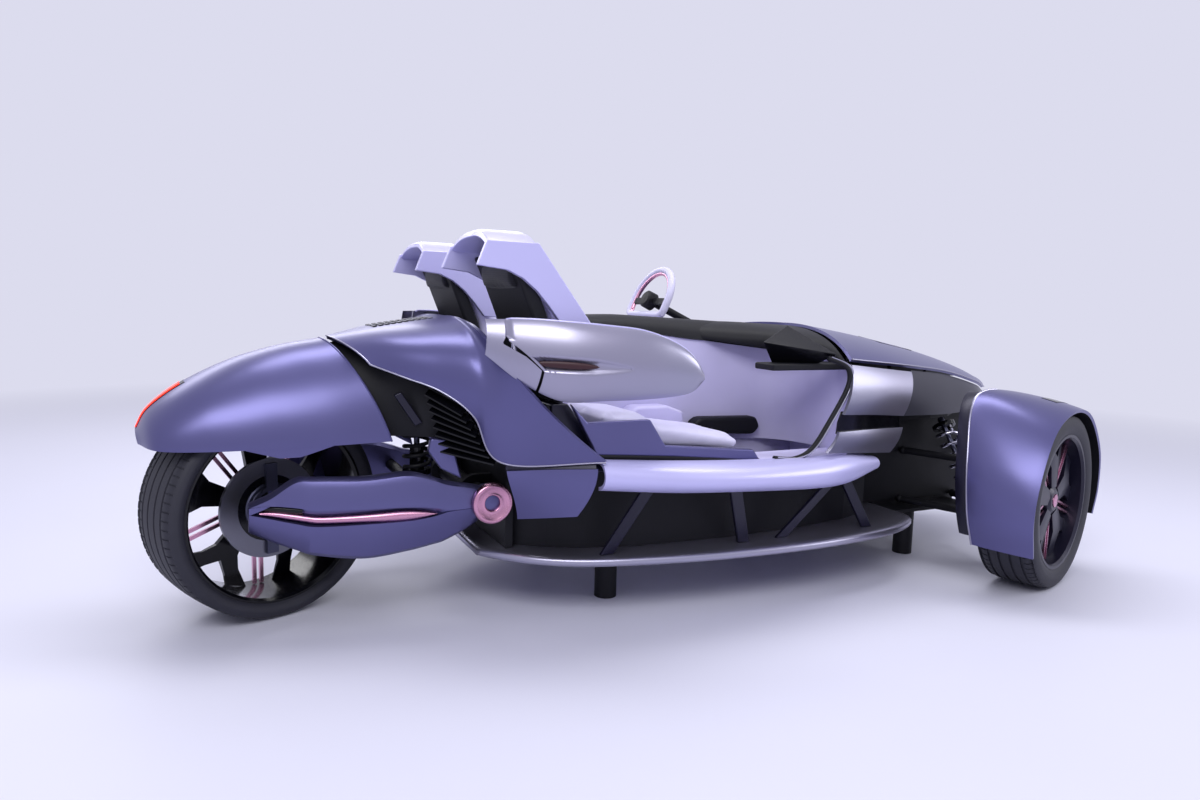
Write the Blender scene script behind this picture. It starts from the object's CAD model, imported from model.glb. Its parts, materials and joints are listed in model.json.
import json
import math

import bmesh
import bpy
import numpy as np
from mathutils import Matrix, Vector


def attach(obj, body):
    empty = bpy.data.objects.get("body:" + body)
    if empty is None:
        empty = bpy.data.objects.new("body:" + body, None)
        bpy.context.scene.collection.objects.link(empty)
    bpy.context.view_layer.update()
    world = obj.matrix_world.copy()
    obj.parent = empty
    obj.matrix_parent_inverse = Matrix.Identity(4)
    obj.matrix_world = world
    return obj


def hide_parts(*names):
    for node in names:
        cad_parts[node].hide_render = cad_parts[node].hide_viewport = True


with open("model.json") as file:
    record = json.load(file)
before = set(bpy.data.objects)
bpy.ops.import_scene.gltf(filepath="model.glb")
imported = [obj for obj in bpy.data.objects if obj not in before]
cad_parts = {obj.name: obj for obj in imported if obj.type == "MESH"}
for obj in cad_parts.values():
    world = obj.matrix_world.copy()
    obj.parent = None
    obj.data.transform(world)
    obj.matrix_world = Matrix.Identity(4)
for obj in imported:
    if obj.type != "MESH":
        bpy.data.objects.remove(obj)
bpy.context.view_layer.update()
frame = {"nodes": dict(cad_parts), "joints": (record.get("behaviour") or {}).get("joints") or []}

bl_info = {
    "name": "Open three-wheeled car",
    "version": (1, 0, 0),
    "blender": (4, 5, 0),
    "location": "3D View > Sidebar > Car",
    "description": "Dresses the frame of an open three-wheeled car with panels, wheels, seats and finishes",
    "category": "Object",
}

JOINTS = {j["name"]: j for j in frame["joints"]}
AXLE_X = JOINTS["rear_steer"]["pos_m"][0]

# Shape tables are in metres from the rear axle's ground point: x forward, y out to the side, z up

# Tail cowl, tip to front: ridge, two handles, low edge
TAIL = [
    [[-0.366, 0, 0.624], [-0.364, 0.040, 0.624], [-0.362, 0.062, 0.608], [-0.356, 0.068, 0.588]],
    [[-0.328, 0, 0.694], [-0.318, 0.130, 0.696], [-0.304, 0.196, 0.640], [-0.296, 0.198, 0.584]],
    [[-0.230, 0, 0.772], [-0.205, 0.170, 0.776], [-0.178, 0.252, 0.690], [-0.155, 0.252, 0.584]],
    [[-0.090, 0, 0.842], [-0.060, 0.175, 0.846], [-0.005, 0.268, 0.730], [0.030, 0.266, 0.586]],
    [[0.050, 0, 0.885], [0.085, 0.175, 0.888], [0.160, 0.268, 0.750], [0.200, 0.268, 0.588]],
    [[0.180, 0, 0.909], [0.205, 0.170, 0.912], [0.310, 0.262, 0.770], [0.368, 0.256, 0.590]],
]
# Rear deck with its quarters, rear to front: ridge, two handles, low edge
DECK = [
    [[0.205, 0, 0.916], [0.212, 0.100, 0.918], [0.270, 0.222, 0.884], [0.300, 0.258, 0.838]],
    [[0.330, 0, 0.946], [0.335, 0.200, 0.952], [0.372, 0.345, 0.905], [0.392, 0.332, 0.803]],
    [[0.450, 0, 0.966], [0.455, 0.290, 0.975], [0.478, 0.440, 0.905], [0.489, 0.404, 0.764]],
    [[0.545, 0, 0.980], [0.545, 0.390, 0.996], [0.560, 0.540, 0.880], [0.575, 0.464, 0.690]],
    [[0.590, 0, 0.988], [0.580, 0.500, 1.004], [0.600, 0.588, 0.850], [0.655, 0.502, 0.548]],
    [[0.610, 0, 0.990], [0.560, 0.640, 1.015], [0.585, 0.600, 0.830], [0.924, 0.682, 0.566]],
]
# Dark core between the tail cowl and the deck: ridge, two handles, low edge
CORE = [
    [[0.120, 0, 0.868], [0.130, 0.145, 0.864], [0.200, 0.202, 0.750], [0.262, 0.202, 0.602]],
    [[0.300, 0, 0.915], [0.305, 0.175, 0.906], [0.345, 0.232, 0.790], [0.385, 0.222, 0.602]],
    [[0.420, 0, 0.935], [0.422, 0.210, 0.928], [0.445, 0.300, 0.805], [0.475, 0.272, 0.602]],
    [[0.540, 0, 0.950], [0.540, 0.240, 0.942], [0.550, 0.340, 0.800], [0.565, 0.310, 0.600]],
]
# Lower side panels, rear to front: top edge, two handles, low edge
LOWER_SIDE = [
    [[0.668, 0.506, 0.522], [0.670, 0.506, 0.490], [0.706, 0.500, 0.420], [0.716, 0.478, 0.358]],
    [[0.780, 0.590, 0.536], [0.780, 0.596, 0.500], [0.778, 0.576, 0.430], [0.772, 0.545, 0.372]],
    [[0.900, 0.676, 0.546], [0.900, 0.682, 0.505], [0.886, 0.664, 0.450], [0.856, 0.628, 0.390]],
]
# Louvre's corners, and the fin behind it in side view: x, z
LOUVRE = [(0.468, 0.325, 0.772), (0.556, 0.420, 0.716), (0.660, 0.462, 0.540), (0.520, 0.325, 0.562)]
FIN = [(0.472, 0.609), (0.534, 0.606), (0.550, 0.563), (0.575, 0.470), (0.505, 0.508), (0.463, 0.567)]
# Hood, rear edge to nose: ridge, two handles, side edge
HOOD = [
    [[2.110, 0, 0.984], [2.080, 0.250, 0.990], [1.995, 0.480, 0.952], [1.968, 0.588, 0.868]],
    [[2.380, 0, 0.944], [2.380, 0.215, 0.946], [2.358, 0.410, 0.902], [2.340, 0.514, 0.836]],
    [[2.700, 0, 0.886], [2.700, 0.160, 0.888], [2.690, 0.318, 0.852], [2.672, 0.404, 0.800]],
    [[2.985, 0, 0.820], [2.985, 0.115, 0.822], [2.982, 0.238, 0.788], [2.972, 0.304, 0.744]],
    [[3.250, 0, 0.744], [3.245, 0.075, 0.745], [3.205, 0.150, 0.726], [3.150, 0.205, 0.704]],
]
# Upper, then lower front side panels, door opening to front: top edge, two handles, low edge
UPPER_FRONT = [
    [[1.964, 0.594, 0.848], [1.958, 0.622, 0.795], [1.935, 0.640, 0.735], [1.902, 0.640, 0.672]],
    [[2.150, 0.560, 0.830], [2.146, 0.592, 0.780], [2.120, 0.606, 0.715], [2.090, 0.602, 0.660]],
    [[2.340, 0.522, 0.812], [2.335, 0.552, 0.765], [2.308, 0.566, 0.702], [2.275, 0.560, 0.644]],
]
LOWER_FRONT = [
    [[1.872, 0.652, 0.612], [1.860, 0.660, 0.590], [1.840, 0.664, 0.566], [1.815, 0.660, 0.540]],
    [[2.070, 0.610, 0.608], [2.060, 0.622, 0.580], [2.040, 0.628, 0.552], [2.010, 0.622, 0.524]],
    [[2.272, 0.562, 0.600], [2.258, 0.574, 0.572], [2.232, 0.582, 0.540], [2.195, 0.580, 0.508]],
]
# Dark sides of the nose under the hood's edge, rear to front: top edge, two handles, low edge
NOSE_SIDE = [
    [[2.352, 0.506, 0.816], [2.348, 0.528, 0.775], [2.330, 0.540, 0.700], [2.300, 0.535, 0.640]],
    [[2.672, 0.398, 0.784], [2.675, 0.420, 0.745], [2.670, 0.436, 0.680], [2.660, 0.436, 0.622]],
    [[2.972, 0.298, 0.728], [2.975, 0.314, 0.710], [2.972, 0.324, 0.670], [2.965, 0.324, 0.622]],
    [[3.140, 0.200, 0.690], [3.150, 0.205, 0.680], [3.150, 0.210, 0.660], [3.140, 0.210, 0.640]],
]
# Side door, rear to tip: top edge, two handles, low edge
DOOR = [
    [[0.583, 0.535, 0.994], [0.583, 0.562, 0.970], [0.580, 0.567, 0.920], [0.577, 0.557, 0.889]],
    [[0.700, 0.600, 0.995], [0.700, 0.637, 0.950], [0.690, 0.642, 0.860], [0.679, 0.602, 0.806]],
    [[0.800, 0.640, 0.990], [0.800, 0.680, 0.940], [0.800, 0.690, 0.820], [0.796, 0.635, 0.752]],
    [[0.930, 0.665, 0.980], [0.930, 0.705, 0.930], [0.930, 0.715, 0.820], [0.930, 0.655, 0.752]],
    [[1.052, 0.680, 0.966], [1.052, 0.715, 0.920], [1.052, 0.720, 0.810], [1.052, 0.665, 0.754]],
    [[1.160, 0.685, 0.930], [1.160, 0.712, 0.900], [1.170, 0.714, 0.810], [1.170, 0.675, 0.763]],
    [[1.225, 0.690, 0.885], [1.228, 0.705, 0.870], [1.235, 0.705, 0.810], [1.225, 0.685, 0.778]],
    [[1.262, 0.692, 0.830], [1.262, 0.694, 0.827], [1.262, 0.694, 0.818], [1.262, 0.692, 0.815]],
]
# Where a door's rear edge lies along its table, and between which heights it slants forward under the hinge
DOOR_SPLIT, DOOR_SLANT = (0.07, 0.2), (0.45, 0.7)
DOOR_WALL = 0.055
# Length that a door's table runs over, and how far from its rear edge the wall is thin and then full
DOOR_LENGTH, DOOR_EDGE, DOOR_FEATHER = 0.68, 0.010, 0.060
# Where the wall starts to thicken ahead of the hinge, over what length, and its thinnest share
DOOR_SWELL, DOOR_SWELL_RUN, DOOR_THIN_SHARE = 0.690, 0.050, 0.05
# Rear edge behind the hinge: share under the root, levels where that ends, depth, share that it runs over
TUCK_SHARE, TUCK_LEVELS, TUCK_DEPTH, TUCK_RUN_SHARE = 0.0125, (0.36, 0.42), 0.007, 0.030
# Front edge of the fixed root: levels, and where it lies along the door's table
ROOT_LEVELS, ROOT_ENDS = (0.42, 0.54, 0.60, 0.70), (0.058, 0.050, 0.130, 0.190)
ROOT_WALL = 0.004
# Hinge barrel: plan place, low and high end, radius
HINGE, HINGE_SPAN, HINGE_RADIUS = (0.657, 0.586), (0.900, 0.960), 0.009
# Handle recess: rear and front end, height of its middle at the rear, slope, half height, depth
HANDLE = (0.63, 1.0)
HANDLE_LEVEL, HANDLE_FALL, HANDLE_HALF, HANDLE_DEPTH = 0.872, 0.052, 0.026, 0.020
# Handle in the recess: rear and front end as shares of it, half height, half thickness, rise off the floor
GRIP_SHARES, GRIP_HALF, GRIP_THICK, GRIP_RISE = (0.20, 0.70), 0.011, 0.004, 0.006
# Sill blades, rear to front: inner top edge, two handles, inner low edge
SILL = [
    [[0.922, 0.622, 0.566], [0.922, 0.700, 0.576], [0.922, 0.712, 0.482], [0.922, 0.640, 0.470]],
    [[1.180, 0.628, 0.548], [1.185, 0.752, 0.556], [1.185, 0.764, 0.455], [1.180, 0.650, 0.446]],
    [[1.450, 0.628, 0.534], [1.450, 0.768, 0.540], [1.450, 0.772, 0.438], [1.450, 0.650, 0.430]],
    [[1.750, 0.624, 0.526], [1.750, 0.736, 0.530], [1.750, 0.740, 0.420], [1.750, 0.640, 0.414]],
    [[1.930, 0.606, 0.524], [1.930, 0.696, 0.526], [1.930, 0.698, 0.418], [1.930, 0.612, 0.414]],
    [[2.110, 0.560, 0.500], [2.120, 0.624, 0.504], [2.125, 0.622, 0.448], [2.110, 0.566, 0.444]],
]
# Floor blade in plan, rear to front: x, half width
FLOOR = [
    [0.640, 0.290], [0.700, 0.375], [0.780, 0.455], [0.880, 0.520], [1.000, 0.566], [1.150, 0.602],
    [1.313, 0.632],
    [1.500, 0.652], [1.714, 0.662], [1.900, 0.658], [2.080, 0.640], [2.220, 0.612], [2.330, 0.568],
    [2.400, 0.520],
    [2.425, 0.470],
]
# Floor blade's cross-section, underside to top: inset from the plan, z
FLOOR_RINGS = [
    (0.16, 0.190), (0.020, 0.1902), (0.004, 0.193), (0.000, 0.199), (0.001, 0.211), (0.008, 0.2185),
    (0.035, 0.2222),
    (0.200, 0.224),
]
# Corners of the charging lid's groove, as shares along and across the hood
LID_SHARES = [
    (0.30, 0.20), (0.44, 0.20), (0.46, 0.24), (0.46, 0.44), (0.44, 0.48), (0.30, 0.48), (0.28, 0.44),
    (0.28, 0.24),
]
# Front fender about the king pin, low rear tip to front tip: inner edge, two handles, outer edge
FENDER = [
    [[-0.344, -0.055, -0.148], [-0.350, -0.005, -0.150], [-0.348, 0.095, -0.152], [-0.340, 0.161, -0.154]],
    [[-0.392, -0.063, -0.008], [-0.402, -0.005, -0.004], [-0.398, 0.105, -0.004], [-0.384, 0.167, -0.008]],
    [[-0.372, -0.083, 0.182], [-0.384, -0.015, 0.182], [-0.368, 0.115, 0.167], [-0.340, 0.169, 0.152]],
    [[-0.262, -0.115, 0.392], [-0.262, -0.045, 0.388], [-0.240, 0.105, 0.330], [-0.222, 0.169, 0.296]],
    [[-0.060, -0.075, 0.414], [-0.050, -0.015, 0.410], [-0.030, 0.105, 0.384], [-0.020, 0.169, 0.358]],
    [[0.170, -0.059, 0.352], [0.176, -0.005, 0.352], [0.180, 0.105, 0.340], [0.180, 0.167, 0.318]],
    [[0.350, -0.053, 0.182], [0.358, -0.005, 0.182], [0.358, 0.105, 0.177], [0.348, 0.163, 0.167]],
    [[0.388, -0.047, 0.012], [0.394, 0.000, 0.012], [0.394, 0.105, 0.012], [0.386, 0.159, 0.012]],
    [[0.366, -0.041, -0.102], [0.371, 0.000, -0.103], [0.371, 0.100, -0.103], [0.364, 0.153, -0.102]],
]
# Swing arm, rear end to pivot: x, outer face y, top z, low z, slot middle z, slot half height
ARM = [
    [-0.060, 0.258, 0.412, 0.322, 0.396, 0.010], [0.000, 0.282, 0.442, 0.295, 0.394, 0.020],
    [0.070, 0.308, 0.492, 0.268, 0.384, 0.025], [0.130, 0.325, 0.495, 0.248, 0.374, 0.025],
    [0.270, 0.343, 0.491, 0.228, 0.372, 0.024], [0.400, 0.352, 0.500, 0.240, 0.371, 0.022],
    [0.480, 0.356, 0.480, 0.254, 0.372, 0.014], [0.530, 0.357, 0.462, 0.266, 0.372, 0.003],
    [0.610, 0.359, 0.446, 0.305, 0.376, 0.001], [0.668, 0.360, 0.432, 0.346, 0.389, 0.001],
]
ARM_WIDTH = 0.068
# Rose bar in the arm's slot: x, half height
ROSE_BAR = [
    [-0.032, 0.006], [0.020, 0.010], [0.110, 0.012], [0.250, 0.014], [0.380, 0.018], [0.450, 0.012],
    [0.492, 0.002],
]
# Side plate of a headrest hoop in side view: x, z
HOOP_PLATE = [
    [0.577, 1.223], [0.548, 1.150], [0.640, 1.139], [0.690, 1.116], [0.735, 1.080], [0.775, 1.035],
    [0.813, 0.986],
    [0.923, 0.977], [0.738, 1.222],
]
# Seat back shell, seat base, cushion and back pad in side view: x, z
SEAT_BACK = [
    [0.800, 0.736], [0.850, 0.736], [0.800, 0.960], [0.730, 1.130], [0.694, 1.190], [0.650, 1.190],
    [0.690, 1.100],
    [0.745, 0.960],
]
SEAT_BASE = [
    [0.790, 0.506], [1.556, 0.506], [1.530, 0.546], [1.190, 0.570], [1.120, 0.618], [0.940, 0.618],
    [0.850, 0.734],
    [0.790, 0.734],
]
SEAT_SHELL = [
    [0.834, 0.742], [0.893, 0.681], [1.115, 0.682], [1.174, 0.595], [1.527, 0.562], [1.559, 0.520],
    [1.200, 0.556],
    [0.924, 0.576],
]
CUSHION = [
    [0.955, 0.624], [1.121, 0.624], [1.192, 0.577], [1.522, 0.555], [1.540, 0.585], [1.210, 0.632],
    [1.130, 0.676], [0.965, 0.690],
]
BACK_PAD = [[0.856, 0.756], [0.905, 0.744], [0.885, 0.960], [0.820, 1.090], [0.755, 1.090], [0.808, 0.962]]
HEAD_PAD = [[0.672, 1.090], [0.748, 1.086], [0.752, 1.130], [0.735, 1.204], [0.690, 1.212], [0.664, 1.150]]
# Middle of a seat, half width of its hoop, and half widths of its base and back
SEAT_MIDDLE, HOOP_HALF, BASE_HALF, BACK_HALF = 0.37, 0.1995, 0.187, 0.1775
# Hoop: plate wall, height of the plates' top, rise of the cap over it
HOOP_WALL, HOOP_TOP, HOOP_RISE = 0.022, 1.223, 0.043
# Low edge of a seat's side shell
SHELL_EDGE = [(0.930, 0.604, 0.572), (1.200, 0.604, 0.551), (1.400, 0.604, 0.533), (1.556, 0.604, 0.516)]
# Cabin floor, and the spine, console and armrest in side view: x, z
CABIN_FLOOR = 0.507
SPINE = [
    (0.965, 0.507), (2.036, 0.507), (2.036, 0.855), (1.870, 0.880), (1.620, 0.908), (1.390, 0.934),
    (1.160, 0.954),
    (1.060, 0.950), (0.990, 0.905), (0.965, 0.820),
]
CONSOLE = [(1.245, 0.560), (1.510, 0.545), (1.500, 0.640), (1.430, 0.664), (1.300, 0.664), (1.245, 0.630)]
ARMREST = [(1.570, 0.545), (1.860, 0.530), (1.890, 0.560), (1.870, 0.602), (1.600, 0.608), (1.570, 0.590)]
# Rail of the dash that carries a visor, in side view: x, z
DASH_RAIL = [(1.645, 0.826), (2.050, 0.826), (2.050, 0.850), (1.645, 0.850)]
# Cabin lining in plan, spine to door frame: x, y, top z
LINING = [
    [1.000, 0.096, 0.958], [1.160, 0.096, 0.958], [1.390, 0.097, 0.938], [1.620, 0.100, 0.912],
    [1.800, 0.110, 0.891],
    [1.930, 0.150, 0.876], [2.000, 0.260, 0.866], [2.022, 0.400, 0.858], [2.006, 0.520, 0.850],
    [1.968, 0.592, 0.842],
]
# Front frame of the door opening, sill up to the lining's corner
OPENING = [
    [1.600, 0.632, 0.530], [1.690, 0.634, 0.524], [1.770, 0.630, 0.556], [1.860, 0.616, 0.655],
    [1.936, 0.604, 0.757],
    [1.950, 0.600, 0.812], [1.930, 0.594, 0.846], [1.866, 0.575, 0.872],
]
# Black top of the dash, rear to front: ridge, two handles, side edge
DASH = [
    [[1.560, 0, 0.972], [1.560, 0.060, 0.970], [1.600, 0.100, 0.935], [1.625, 0.106, 0.916]],
    [[1.780, 0, 0.985], [1.790, 0.180, 0.985], [1.880, 0.300, 0.920], [1.965, 0.330, 0.868]],
    [[2.087, 0, 0.975], [2.062, 0.240, 0.980], [1.984, 0.465, 0.940], [1.950, 0.572, 0.856]],
]
# Black cap along the spine, seats to dash: ridge, two handles, side edge
SPINE_CAP = [
    [[0.985, 0, 0.930], [0.985, 0.050, 0.930], [0.988, 0.092, 0.915], [0.990, 0.099, 0.893]],
    [[1.080, 0, 0.992], [1.080, 0.055, 0.992], [1.085, 0.094, 0.980], [1.090, 0.100, 0.953]],
    [[1.240, 0, 1.006], [1.240, 0.055, 1.006], [1.240, 0.096, 0.985], [1.240, 0.101, 0.951]],
    [[1.430, 0, 1.000], [1.430, 0.058, 1.000], [1.432, 0.098, 0.972], [1.434, 0.103, 0.932]],
    [[1.620, 0, 0.992], [1.622, 0.062, 0.991], [1.630, 0.104, 0.955], [1.640, 0.112, 0.912]],
    [[1.800, 0, 0.984], [1.802, 0.062, 0.983], [1.810, 0.100, 0.960], [1.815, 0.108, 0.930]],
]
# Wind visor: its top corners, and its corners on the dash rail
VISOR_TOP = [(1.629, 0.500, 0.926), (1.791, 0.430, 0.985), (1.907, 0.580, 0.885)]
VISOR_FOOT = [(1.700, 0.465, 0.848), (1.800, 0.445, 0.848), (1.860, 0.530, 0.848)]
# Sheets that line a footwell: rear, front, inner and outer side, bottom, top
FOOTWELL = [
    (1.590, 2.104, 0.100, 0.104, 0.250, 0.506), (2.100, 2.104, 0.104, 0.409, 0.250, 0.506),
    (1.590, 1.594, 0.104, 0.409, 0.250, 0.506), (1.594, 2.100, 0.104, 0.409, 0.247, 0.251),
]


def linear(code):
    """An sRGB hex colour as the linear values that a shader takes."""
    parts = [int(code[k : k + 2], 16) / 255 for k in (1, 3, 5)]
    return tuple(c / 12.92 if c <= 0.04045 else ((c + 0.055) / 1.055) ** 2.4 for c in parts) + (1.0,)


def colour(name, description, code):
    """A colour that the panel lets a user change."""
    return bpy.props.FloatVectorProperty(
        name=name, description=description, default=linear(code), size=4, min=0, max=1, subtype="COLOR"
    )


def length(name, description, size):
    """A length that the panel lets a user change, in metres."""
    return bpy.props.FloatProperty(name=name, description=description, default=size, min=0, unit="LENGTH")


class CarSizes(bpy.types.PropertyGroup):
    """Sizes of the car's trim and details."""

    panel_wall: length("Panel wall", "Thickness of an outer panel where its edge shows", 0.012)
    edge_round: length("Edge rounding", "Rounding of a moulded or machined edge", 0.003)
    lip_radius: length("Lip radius", "Radius of the bright lip along a panel edge", 0.003)
    groove_depth: length("Tread groove depth", "Depth of the grooves that run round a tyre", 0.006)
    sipe_depth: length("Sipe depth", "Depth of the short cuts in a tyre's shoulders", 0.003)
    pad_swell: length("Pad swell", "Furthest that a pad's skin may swell", 0.022)
    piping_radius: length("Piping radius", "Radius of the sewn piping on a pad", 0.0035)


class CarColours(bpy.types.PropertyGroup):
    """Colours of the car's finishes."""

    body_paint: colour("Body paint", "Satin violet-grey paint of the deck, tail, hood and fenders", "#62608f")
    satin_silver: colour(
        "Satin silver", "Satin silver paint of the doors, front sides and floor blade", "#9a9caf",
    )
    pale_trim: colour("Pale trim", "Pearl paint of the hoops and sill blades", "#c6c3f2")
    lining: colour("Cabin lining", "Moulded lining of the cabin", "#cfcaf0")
    leather: colour("Leather", "Leather of the seats", "#d8d5f5")
    rose: colour("Rose metal", "Anodised trim of the arm and the wheels", "#d19ab4")
    lamp: colour("Tail lamp", "Light of the tail lamp", "#ff3320")
    rubber: colour("Rubber", "Tyre rubber", "#1b1b26")
    stage: colour("Stage", "Floor and backdrop that the car stands before", "#dcdcee")


PAINT = "Satin metallic paint, sprayed"
SILVER = "Satin aluminium paint, sprayed"
PEARL = "Pearl paint, sprayed"
LINER = "Lining polymer, moulded"
LEATHER = "Leather, grained"
CLOTH = "Trim cloth, woven"
GLOSS = "Black lacquer, polished"
MATT = "Black composite, moulded"
DARK_PAINT = "Dark violet paint, sprayed"
RUBBER = "Tyre rubber, moulded"
ROSE = "Rose aluminium, anodised"
WINE = "Wine red lacquer, sprayed"
STEEL = "Spring steel, polished"
CAST = "Aluminium, cast and blasted"
BRAKE = "Brake iron, turned"
LAMP = "Red lamp lens, lit"


def node(tree, kind, inputs=None, **settings):
    """Adds one node with its settings, and fills or links its inputs."""
    made = tree.nodes.new(kind)
    # A Mix node names the sockets of the kind that is set, so the settings come first
    for key, value in settings.items():
        setattr(made, key, value)
    for key, value in (inputs or {}).items():
        if isinstance(value, bpy.types.NodeSocket):
            tree.links.new(value, made.inputs[key])
        else:
            made.inputs[key].default_value = value
    return made


def surface(name, **values):
    """A new material with a Principled shader: gives the material, its tree, shader and coordinates."""
    material = bpy.data.materials.new(name)
    material.use_nodes = True
    tree = material.node_tree
    tree.nodes.clear()
    shader = node(tree, "ShaderNodeBsdfPrincipled", values)
    node(tree, "ShaderNodeOutputMaterial", {"Surface": shader.outputs["BSDF"]})
    place = node(tree, "ShaderNodeTexCoord").outputs["Object"]
    return material, tree, shader, place


def pattern_scale(size_mm):
    """Scale of a pattern, in object coordinates of metres, whose features are this many millimetres apart."""
    return 1000.0 / size_mm


def wave_scale(size_mm):
    """Scale of a wave texture whose bands are spaced like a pattern of this many millimetres."""
    return pattern_scale(size_mm) / 6.28


def shade(rgba, share):
    """The same colour, lighter or darker by a share."""
    return tuple(min(1.0, c * share) for c in rgba[:3]) + (1.0,)


def sprayed(name, base, second, metallic, roughness, coat, flake_mm, drift_mm):
    """Sprayed paint: fine flake that breaks the highlight and a slow drift of colour over the panel."""
    material, tree, shader, place = surface(
        name, **{"Metallic": metallic, "Coat Weight": coat, "Coat Roughness": 0.22}
    )
    drift = node(
        tree, "ShaderNodeTexNoise", {"Vector": place, "Scale": pattern_scale(drift_mm), "Detail": 2.0},
    )
    flake = node(
        tree, "ShaderNodeTexNoise", {"Vector": place, "Scale": pattern_scale(flake_mm), "Detail": 1.0},
    )
    tone = node(
        tree, "ShaderNodeMix", data_type="RGBA",
        inputs={"Factor": drift.outputs["Fac"], "A": base, "B": second},
    )
    gloss = node(
        tree,
        "ShaderNodeMapRange",
        {"Value": flake.outputs["Fac"], "To Min": roughness - 0.05, "To Max": roughness + 0.06},
    )
    bump = node(
        tree, "ShaderNodeBump", {"Height": flake.outputs["Fac"], "Strength": 0.035, "Distance": 0.0004},
    )
    tree.links.new(tone.outputs["Result"], shader.inputs["Base Color"])
    tree.links.new(gloss.outputs["Result"], shader.inputs["Roughness"])
    tree.links.new(bump.outputs["Normal"], shader.inputs["Normal"])
    return material


def grained(name, base, second, roughness, grain_mm, strength, **values):
    """Moulded or grained surface: cells of one size in its bump, with a little change of tone and gloss."""
    material, tree, shader, place = surface(name, **values)
    cells = node(tree, "ShaderNodeTexVoronoi", {"Vector": place, "Scale": pattern_scale(grain_mm)})
    cloud = node(
        tree, "ShaderNodeTexNoise", {"Vector": place, "Scale": pattern_scale(grain_mm * 30), "Detail": 3.0},
    )
    tone = node(
        tree, "ShaderNodeMix", data_type="RGBA",
        inputs={"Factor": cloud.outputs["Fac"], "A": base, "B": second},
    )
    gloss = node(
        tree,
        "ShaderNodeMapRange",
        {"Value": cells.outputs["Distance"], "To Min": roughness - 0.06, "To Max": roughness + 0.08},
    )
    bump = node(
        tree, "ShaderNodeBump",
        {"Height": cells.outputs["Distance"], "Strength": strength, "Distance": 0.0006},
    )
    tree.links.new(tone.outputs["Result"], shader.inputs["Base Color"])
    tree.links.new(gloss.outputs["Result"], shader.inputs["Roughness"])
    tree.links.new(bump.outputs["Normal"], shader.inputs["Normal"])
    return material


def brushed(name, base, second, roughness, line_mm, stretch, **values):
    """Metal with the fine lines of its last tool: noise drawn out along the car."""
    material, tree, shader, place = surface(name, **{"Metallic": 1.0, **values})
    along = node(tree, "ShaderNodeMapping", {"Vector": place, "Scale": (1.0 / stretch, 1.0, 1.0)})
    lines = node(
        tree, "ShaderNodeTexNoise",
        {"Vector": along.outputs["Vector"], "Scale": pattern_scale(line_mm), "Detail": 3.0},
    )
    tone = node(
        tree, "ShaderNodeMix", data_type="RGBA",
        inputs={"Factor": lines.outputs["Fac"], "A": base, "B": second},
    )
    gloss = node(
        tree,
        "ShaderNodeMapRange",
        {"Value": lines.outputs["Fac"], "To Min": roughness - 0.06, "To Max": roughness + 0.1},
    )
    tree.links.new(tone.outputs["Result"], shader.inputs["Base Color"])
    tree.links.new(gloss.outputs["Result"], shader.inputs["Roughness"])
    return material


def woven(name, base, second, thread_mm):
    """Plain-woven cloth: two sets of threads that cross, with the gaps between them darker."""
    material, tree, shader, place = surface(
        name, **{"Roughness": 0.85, "Sheen Weight": 0.25, "Sheen Roughness": 0.4},
    )
    warp = node(
        tree, "ShaderNodeTexWave", {"Vector": place, "Scale": wave_scale(thread_mm)}, bands_direction="Y"
    )
    weft = node(
        tree, "ShaderNodeTexWave", {"Vector": place, "Scale": wave_scale(thread_mm)}, bands_direction="Z"
    )
    cross = node(
        tree, "ShaderNodeMath", {0: warp.outputs["Fac"], 1: weft.outputs["Fac"]}, operation="MULTIPLY"
    )
    tone = node(
        tree, "ShaderNodeMix", data_type="RGBA",
        inputs={"Factor": cross.outputs["Value"], "A": second, "B": base},
    )
    bump = node(
        tree, "ShaderNodeBump", {"Height": cross.outputs["Value"], "Strength": 0.4, "Distance": 0.001},
    )
    tree.links.new(tone.outputs["Result"], shader.inputs["Base Color"])
    tree.links.new(bump.outputs["Normal"], shader.inputs["Normal"])
    return material


def smooth(points, count):
    """A polyline resampled to a smooth curve of this many points."""
    table = np.array(points, float)
    return np.array([row_at(table, k / (count - 1)) for k in range(count)])


def row_at(table, u):
    """The row of a table at a place from 0 to 1, on a smooth curve through its rows."""
    n = len(table) - 1
    p = min(max(u, 0.0), 1.0) * n
    i = min(int(p), n - 1)
    t = p - i
    b, c = table[i], table[i + 1]
    a = table[i - 1] if i else 2 * b - c
    d = table[i + 2] if i < n - 1 else 2 * c - b
    return b + t / 2 * ((c - a) + t * ((2 * a - 5 * b + 4 * c - d) + t * (3 * (b - c) + d - a)))


def patch(table, nu, nv, u=(0.0, 1.0), v=(0.0, 1.0)):
    """Grid of points on one side's panel, or on a part of it."""
    table = np.array(table, float)
    t = np.linspace(v[0], v[1], nv + 1)[:, None]
    grid = []
    for s in np.linspace(u[0], u[1], nu + 1):
        p = row_at(table, s)
        grid.append(
            p[0] * (1 - t) ** 3 + p[1] * 3 * t * (1 - t) ** 2 + p[2] * 3 * t**2 * (1 - t) + p[3] * t**3
        )
    return np.array(grid)


def crown(table, nu, nv, u=(0.0, 1.0)):
    """Grid of points on a panel over both sides, from its right edge over the ridge to its left edge."""
    half = patch(table, nu, nv, u)
    return np.concatenate([half[:, :0:-1] * [1, -1, 1], half], axis=1)


def normals(g):
    """Unit normals of a grid of points."""
    n = np.cross(np.gradient(g, axis=0), np.gradient(g, axis=1))
    return n / np.maximum(np.linalg.norm(n, axis=2, keepdims=True), 1e-9)


def side_view(outline, y):
    """Points of a flat outline in side view, at one distance from the car's middle."""
    return [(x, y, z) for x, z in outline]


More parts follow.
